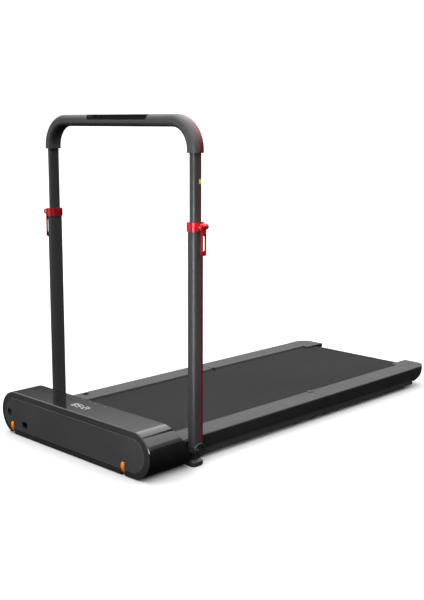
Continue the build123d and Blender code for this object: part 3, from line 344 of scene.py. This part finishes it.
def wheel_finish(side):
    """An orange tyre on a black hub, told apart by the distance from the wheel's axle."""
    shader = Shader(side + "_wheel_orange", Specular_IOR_Level=0.2)
    axle = JOINTS[side + "_wheel_spin"]["pos_m"]
    away = shader.add("VectorMath", {0: shader.place(), 1: axle}, operation="SUBTRACT").outputs[0]
    flat = shader.add("VectorMath", {0: away, 1: (0.0, 1.0, 1.0)}, operation="MULTIPLY").outputs[0]
    radius = shader.add("VectorMath", {0: flat}, operation="LENGTH").outputs["Value"]
    tyre = shader.ranged(radius, 0.0, 1.0, HUB_RADIUS, TYRE_RADIUS)
    grime = shader.ranged(shader.noise(120.0, 5.0), 0.0, 0.5)
    orange = shader.mixed(grime, rgba((0.58, 0.17, 0.018)), rgba((0.36, 0.10, 0.015)))
    tone = shader.mixed(tyre, rgba((0.010, 0.010, 0.010)), orange)
    gloss = shader.ranged(grime, 0.40, 0.60, 0.0, 0.5)
    return shader.wear(tone, gloss, shader.bump(shader.noise(1000.0, 3.0), 0.00008))


FINISHES = {
    "gloss_black": gloss_acrylic(),
    "panel_grey": moulded("panel_grey", (0.029, 0.029, 0.0293), (0.50, 0.68), 1800.0, 0.00006,
                          Specular_IOR_Level=0.25),
    "bevel_black": moulded("bevel_black", (0.015, 0.015, 0.0155), (0.40, 0.52), 1500.0, 0.00003,
                           Specular_IOR_Level=0.30),
    "black_plastic": moulded("black_plastic", SKIRT_BLACK, (0.45, 0.62), 1400.0, 0.00006,
                             Specular_IOR_Level=0.2),
    # Painted shade: the deck base is a real black tray, and its tone, lighter than the skirts, matches the floor's
    # shadow seen below them.
    "base_grey": moulded("base_grey", (0.017, 0.017, 0.017), (0.50, 0.66), 1300.0, 0.00006,
                         Specular_IOR_Level=0.2),
    "cap_two_tone": two_tone_cap(),
    "hinge_grey": moulded("hinge_grey", (0.045, 0.045, 0.045), (0.45, 0.60), 1300.0, 0.00005,
                          Specular_IOR_Level=0.3),
    "socket_black": moulded("socket_black", (0.010, 0.010, 0.010), (0.25, 0.40), 900.0, 0.00003),
    "circuit_board": circuit_board(),
    "rail_grey": moulded("rail_grey", RAIL_GREY, (0.50, 0.66), 1100.0, 0.00010, 0.05, 0.12,
                         Specular_IOR_Level=0.06),
    "belt_rubber": belt_cover(),
    "deck_board": laminate_board(),
    "post_grey": moulded("post_grey", (0.0185, 0.0185, 0.0191), (0.42, 0.54), 1900.0, 0.00005,
                         Specular_IOR_Level=0.35),
    "frame_black": moulded("frame_black", (0.009, 0.009, 0.009), (0.40, 0.58), 1100.0, 0.00008),
    "red_anodised": red_metal("red_anodised", (0.36, 0.010, 0.016), (0.26, 0.40), 0.6),
    "red_strip": red_metal("red_strip", (0.085, 0.005, 0.008), (0.30, 0.45), 0.3),
    "grip_grey": moulded("grip_grey", (0.033, 0.033, 0.0335), (0.48, 0.62), 1500.0, 0.00007,
                         Specular_IOR_Level=0.3),
    "tray_rubber": moulded("tray_rubber", (0.0045, 0.0045, 0.0045), (0.60, 0.80), 1200.0, 0.00010,
                           Specular_IOR_Level=0.08),
    "foot_rubber": moulded("foot_rubber", (0.010, 0.010, 0.010), (0.65, 0.85), 900.0, 0.00015),
    "drive_rubber": moulded("drive_rubber", (0.014, 0.014, 0.014), (0.55, 0.75), 800.0, 0.00015),
    "wheel_orange": wheel_finish("left"),
    "wheel_orange_right": wheel_finish("right"),
    "steel": brushed("steel", (0.56, 0.56, 0.57), (0.20, 0.38), "X"),
    "zinc_steel": zinc_plate(),
    "motor_steel": moulded("motor_steel", (0.030, 0.030, 0.032), (0.30, 0.45), 1000.0, 0.00006),
    "heat_sink": brushed("heat_sink", (0.60, 0.60, 0.62), (0.30, 0.45), "Y"),
}


def finish_cad_nodes():
    """Every CAD node takes the finish of its slot, and the right wheel's is centred on its own axle."""
    for part in frame["record"]["subparts"]:
        finish = FINISHES[part["material_slot"]]
        for slot in NODES[part["node"]].material_slots:
            slot.material = finish
    for slot in NODES["wheel_right"].material_slots:
        slot.material = FINISHES["wheel_orange_right"]


# ---- mesh helpers ------------------------------------------------------------
def piece_from(name, bm, finish):
    """A shown object made from a bmesh, with smooth sides and sharp edges."""
    bmesh.ops.recalc_face_normals(bm, faces=bm.faces)
    mesh = bpy.data.meshes.new(name)
    bm.to_mesh(mesh)
    bm.free()
    piece = bpy.data.objects.new(name, mesh)
    bpy.context.scene.collection.objects.link(piece)
    mesh.materials.append(finish)
    mesh.shade_smooth()
    mesh.set_sharp_from_angle(angle=SHARP_EDGE)
    return piece


def swept(bm, rings, closed):
    """Joins rings of vertices, each a list of points, into a tube."""
    made = [[bm.verts.new(point) for point in ring] for ring in rings]
    last = len(made) if closed else len(made) - 1
    for i in range(last):
        a, b = made[i], made[(i + 1) % len(made)]
        for j in range(len(a)):
            k = (j + 1) % len(a)
            bm.faces.new((a[j], a[k], b[k], b[j]))
    if not closed:
        bm.faces.new(made[0])
        bm.faces.new(reversed(made[-1]))


# ---- running belt ------------------------------------------------------------
def belt_path():
    """Points (y, z) and outward directions round the loop at the belt's inner face."""
    radius = BELT_INNER
    low_bend, high_bend = SEAM_Y - BELT_BEND, SEAM_Y + BELT_BEND
    bend = [low_bend + (high_bend - low_bend) * i / BEND_STEPS for i in range(BEND_STEPS + 1)]
    path = [(y, ROLLER_Z + radius, 0.0, 1.0) for y in bend]
    for i in range(ROLLER_STEPS + 1):
        angle = math.pi / 2 - math.pi * i / ROLLER_STEPS
        path.append((REAR_ROLLER_Y + radius * math.cos(angle), ROLLER_Z + radius * math.sin(angle),
                     math.cos(angle), math.sin(angle)))
    path += [(y, ROLLER_Z - radius, 0.0, -1.0) for y in reversed(bend)]
    for i in range(ROLLER_STEPS + 1):
        angle = -math.pi / 2 - math.pi * i / ROLLER_STEPS
        path.append((FRONT_ROLLER_Y + radius * math.cos(angle), ROLLER_Z + radius * math.sin(angle),
                     math.cos(angle), math.sin(angle)))
    return path


def running_belt():
    """One endless belt, its edges rounded, with closely spaced rings about the deck's fold."""
    w, t, r = BELT_HALF_WIDTH, BELT_THICKNESS, BELT_ROUND
    section = [(-w, r), (-w + r, 0.0), (w - r, 0.0), (w, r),
               (w, t - r), (w - r, t), (-w + r, t), (-w, t - r)]
    bm = bmesh.new()
    rings = [[(x, y + out * ny, z + out * nz) for x, out in section] for y, z, ny, nz in belt_path()]
    swept(bm, rings, closed=True)
    belt = piece_from("running_belt", bm, FINISHES["belt_rubber"])
    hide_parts("running_belt_front", "running_belt_rear")
    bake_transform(belt)


# ---- display -----------------------------------------------------------------
def bar(bm, x0, x1, y0, y1):
    """A flat bar standing on the cover, with the edges of its top eased."""
    ease = LIT_HEIGHT / 2
    base, crown = LIT_BASE_Z, LIT_BASE_Z + LIT_HEIGHT
    low = [(x0, y0, base), (x1, y0, base), (x1, y1, base), (x0, y1, base)]
    top = [(x0 + ease, y0 + ease, crown), (x1 - ease, y0 + ease, crown),
           (x1 - ease, y1 - ease, crown), (x0 + ease, y1 - ease, crown)]
    swept(bm, [low, top], closed=False)


def ring(bm, x, y, inner, outer):
    """A flat ring standing on the cover, with its rims eased."""
    ease = LIT_HEIGHT / 2
    section = [(inner, 0.0), (outer, 0.0), (outer - ease, LIT_HEIGHT), (inner + ease, LIT_HEIGHT)]
    turns = [2 * math.pi * i / RING_STEPS for i in range(RING_STEPS)]
    rings = [[(x + r * math.cos(a), y + r * math.sin(a), LIT_BASE_Z + up) for r, up in section]
             for a in turns]
    swept(bm, rings, closed=True)


def display_digits():
    """Seven-segment time, read from the deck, glowing on the black cover."""
    w, h, s = DIGIT_WIDTH, DIGIT_HEIGHT, DIGIT_STROKE
    places = {"a": (0, w, 0, s), "g": (0, w, (h - s) / 2, (h + s) / 2), "d": (0, w, h - s, h),
              "f": (0, s, 0, h / 2), "b": (w - s, w, 0, h / 2),
              "e": (0, s, h / 2, h), "c": (w - s, w, h / 2, h)}
    bm = bmesh.new()
    for i, left in DIGIT_LEFTS.items():
        for segment in SEGMENTS[DISPLAY_TEXT[i]]:
            x0, x1, y0, y1 = places[segment]
            bar(bm, left - x1 + SEGMENT_INSET, left - x0 - SEGMENT_INSET,
                DIGIT_TOP_Y + y0 + SEGMENT_INSET, DIGIT_TOP_Y + y1 - SEGMENT_INSET)
    for level in COLON_LEVELS:
        y = DIGIT_TOP_Y + h * level
        bar(bm, COLON_X - COLON_HALF, COLON_X + COLON_HALF, y - COLON_HALF, y + COLON_HALF)
    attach(piece_from("display_digits", bm, lit_glass("digit_glow", (0.85, 0.92, 1.0), 1.7)), "root")


def display_icons():
    """Dim lamps behind the time: two orange rings, and a grey dash at each end."""
    bm = bmesh.new()
    for x in ICON_RING_CENTRES:
        ring(bm, x, ICON_ROW_Y, ICON_RING_INNER, ICON_RING_OUTER)
    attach(piece_from("display_icons", bm, lit_glass("icon_glow", (0.62, 0.22, 0.06), 0.35)), "root")
    bm = bmesh.new()
    for x in ICON_DASH_LEFTS:
        bar(bm, x, x + ICON_DASH_LENGTH, ICON_ROW_Y - ICON_DASH_HALF, ICON_ROW_Y + ICON_DASH_HALF)
    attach(piece_from("display_dashes", bm, lit_glass("dash_glow", (0.30, 0.30, 0.32), 0.35)), "root")


# ---- housing trim ------------------------------------------------------------
def stadium(inset):
    """Points (x, z) round the housing's outline, drawn in by an inset."""
    low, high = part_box("front_bezel")
    middle_z = (low.z + high.z) / 2
    radius = (high.z - low.z) / 2
    straight = high.x - radius
    points = []
    for centre_x, start in ((straight, -math.pi / 2), (-straight, math.pi / 2)):
        for i in range(TRIM_ARC_STEPS + 1):
            angle = start + math.pi * i / TRIM_ARC_STEPS
            reach = radius - inset
            points.append((centre_x + reach * math.cos(angle), middle_z + reach * math.sin(angle)))
    dense = []
    for (x0, z0), (x1, z1) in zip(points, points[1:] + points[:1]):
        steps = max(1, round(math.hypot(x1 - x0, z1 - z0) / TRIM_STEP))
        dense += [(x0 + (x1 - x0) * i / steps, z0 + (z1 - z0) * i / steps) for i in range(steps)]
    return dense


def in_wheel_well(x, z):
    """Whether a point of the outline lies where a transport wheel comes through."""
    return any(low.x - TRIM_CLEAR < x < high.x + TRIM_CLEAR and z < high.z for low, high in WHEEL_BOXES)


def trim_runs(inset):
    """The outline's points in runs, broken at the transport wheels."""
    points = stadium(inset)
    first = next(i for i, point in enumerate(points) if in_wheel_well(*point))
    runs = [[]]
    for x, z in points[first:] + points[:first]:
        if in_wheel_well(x, z):
            runs.append([])
        else:
            runs[-1].append((x, z))
    return [run for run in runs if len(run) > 2]


def trim_bead(name, inset, y, finish):
    """A fine half-sunk bead that follows the housing's outline at one inset."""
    bm = bmesh.new()
    for run in trim_runs(inset):
        rings = []
        for i, (x, z) in enumerate(run):
            before, after = run[max(i - 1, 0)], run[min(i + 1, len(run) - 1)]
            along = Vector((after[0] - before[0], 0, after[1] - before[1])).normalized()
            across = along.cross(Vector((0, 1, 0)))
            turns = [2 * math.pi * k / TRIM_SIDES for k in range(TRIM_SIDES)]
            centre = Vector((x, y, z))
            rings.append([centre + TRIM_RADIUS * (math.cos(a) * across + Vector((0, math.sin(a), 0)))
                          for a in turns])
        swept(bm, rings, closed=False)
    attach(piece_from(name, bm, finish), "root")


def housing_trim():
    """A bead round the front panel, its pale grey a painted highlight along the panel's edge, and the polished
    edge outside the bevelled ring.
    """
    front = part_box("front_bezel")[0].y
    # Painted highlight: the bead's pale grey stands for light caught along the front panel's chamfered edge.
    bead = moulded("bead_grey", (0.050, 0.050, 0.051), (0.35, 0.45), 1500.0, 0.00002)
    trim_bead("panel_bead", BEAD_INSET, front + BEAD_DEPTH, bead)
    edge = moulded("edge_satin", (0.020, 0.020, 0.021), (0.18, 0.28), 1500.0, 0.00002)
    trim_bead("bezel_edge", EDGE_INSET, front + EDGE_DEPTH, edge)


# ---- height mark -------------------------------------------------------------
def height_mark():
    """A yellow mark stuck round the outer rear corner of the right upper tube."""
    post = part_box("upper_post_right")[1]
    x, y = post.x - UPPER_CORNER, post.y - UPPER_CORNER
    reaches = (UPPER_CORNER + MARK_PROUD, UPPER_CORNER - MARK_SUNK)
    low, high = Vector((0, 0, MARK_LOW)), Vector((0, 0, MARK_LOW + MARK_HEIGHT))
    path = [(y - MARK_FLAT, 0.0)] + [(y, MARK_TURN * i) for i in range(MARK_STEPS)]
    rings = []
    for centre_y, angle in path:
        outer, inner = (Vector((x + r * math.cos(angle), centre_y + r * math.sin(angle), 0)) for r in reaches)
        rings.append([outer + low, outer + high, inner + high, inner + low])
    bm = bmesh.new()
    swept(bm, rings, closed=False)
    ink = moulded("mark_yellow", (0.42, 0.30, 0.04), (0.45, 0.60), 900.0, 0.00003)
    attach(piece_from("height_mark", bm, ink), "handrail_upper")


# ---- stage -------------------------------------------------------------------
def white(name, albedo, glow):
    """Matt paper of an even grey, with a white glow of its own."""
    shader = Shader(name, Specular_IOR_Level=0.0, Emission_Strength=glow, Emission_Color=(1.0, 1.0, 1.0, 1.0))
    paper = (albedo, albedo, albedo)
    cloud = shader.ranged(shader.noise(0.7, 2.0), 0.0, 1.0)
    return shader.wear(shader.mixed(cloud, rgba(paper, 0.995), rgba(paper)), 0.9)


def hide_from_bounces(thing):
    """The camera sees the stage, and the object is neither lit by it nor mirrors it."""
    thing.visible_diffuse = False
    thing.visible_glossy = False
    thing.visible_transmission = False


def studio_floor():
    """A plain floor, and a round white backdrop that glows to the camera alone."""
    bpy.ops.mesh.primitive_plane_add(size=FLOOR_SIZE)
    floor = bpy.context.object
    floor.name = "floor"
    floor.data.materials.append(white("floor_white", 0.40, 0.0))
    hide_from_bounces(floor)
    bpy.ops.mesh.primitive_uv_sphere_add(radius=BACKDROP_RADIUS, segments=48, ring_count=24)
    backdrop = bpy.context.object
    backdrop.name = "backdrop"
    backdrop.data.materials.append(white("backdrop_white", 0.0, 1.3))
    hide_from_bounces(backdrop)
    backdrop.visible_shadow = False


def softbox(name, place, target, size, power, spread=180):
    """A rectangular lamp that points at its target and that the camera doesn't see."""
    light = bpy.data.lights.new(name, "AREA")
    light.shape = "RECTANGLE"
    light.size, light.size_y = size
    light.energy = power
    light.spread = math.radians(spread)
    lamp = bpy.data.objects.new(name, light)
    bpy.context.scene.collection.objects.link(lamp)
    lamp.location = place
    lamp.rotation_euler = (Vector(target) - Vector(place)).to_track_quat("-Z", "Y").to_euler()
    lamp.visible_camera = False


def soft_sun(name, towards, power, spread):
    """Even light from one direction, its shadows softened by the spread in degrees."""
    light = bpy.data.lights.new(name, "SUN")
    light.energy = power
    light.angle = math.radians(spread)
    lamp = bpy.data.objects.new(name, light)
    bpy.context.scene.collection.objects.link(lamp)
    lamp.rotation_euler = (-Vector(towards)).to_track_quat("-Z", "Y").to_euler()


def room_light():
    """Light that falls from a wide overhead softbox, with dim walls below it."""
    world = bpy.data.worlds.new("room")
    bpy.context.scene.world = world
    world.use_nodes = True
    tree = world.node_tree
    background = tree.nodes["Background"]
    direction = tree.nodes.new("ShaderNodeTexCoord").outputs["Generated"]
    parts = tree.nodes.new("ShaderNodeSeparateXYZ")
    tree.links.new(direction, parts.inputs["Vector"])
    ramp = tree.nodes.new("ShaderNodeValToRGB")
    lift = tree.nodes.new("ShaderNodeMapRange")
    lift.inputs["From Min"].default_value = -1.0
    tree.links.new(parts.outputs["Z"], lift.inputs["Value"])
    tree.links.new(lift.outputs["Result"], ramp.inputs["Fac"])
    brightest = max(level for _, level in ROOM_LEVELS)
    stops = ramp.color_ramp.elements
    stops.remove(stops[1])
    for i, (elevation, level) in enumerate(ROOM_LEVELS):
        position = (math.sin(math.radians(elevation)) + 1) / 2
        stop = stops[0] if i == 0 else stops.new(position)
        stop.position = position
        stop.color = (level / brightest, level / brightest, level / brightest, 1)
    tree.links.new(ramp.outputs["Color"], background.inputs["Color"])
    background.inputs["Strength"].default_value = brightest


def camera():
    """The view, from the front right and a little above."""
    data = bpy.data.cameras.new("camera")
    data.lens = CAMERA_LENS
    data.shift_x, data.shift_y = CAMERA_SHIFT
    data.clip_end = 100
    view = bpy.data.objects.new("camera", data)
    bpy.context.scene.collection.objects.link(view)
    turn = Matrix.Rotation(math.radians(CAMERA_AZIMUTH), 4, "Z")
    tilt = Matrix.Rotation(math.radians(90 - CAMERA_PITCH), 4, "X")
    roll = Matrix.Rotation(math.radians(CAMERA_ROLL), 4, "Z")
    view.matrix_world = Matrix.Translation(CAMERA_PLACE) @ turn @ tilt @ roll
    bpy.context.scene.camera = view


finish_cad_nodes()
running_belt()
display_digits()
display_icons()
housing_trim()
height_mark()
studio_floor()
room_light()
soft_sun("key", towards=(-0.45, 0.30, 0.95), power=1.2, spread=40)
softbox("front_left", place=(-2.2, -2.6, 1.1), target=(0, -0.4, 0.5), size=(2.0, 2.0), power=24)
softbox("front_right", place=(0.78, -1.28, 0.55), target=(0.33, -0.54, 0.55), size=(0.3, 0.8),
        power=2.2, spread=50)
camera()
bpy.context.scene.view_settings.view_transform = "Standard"
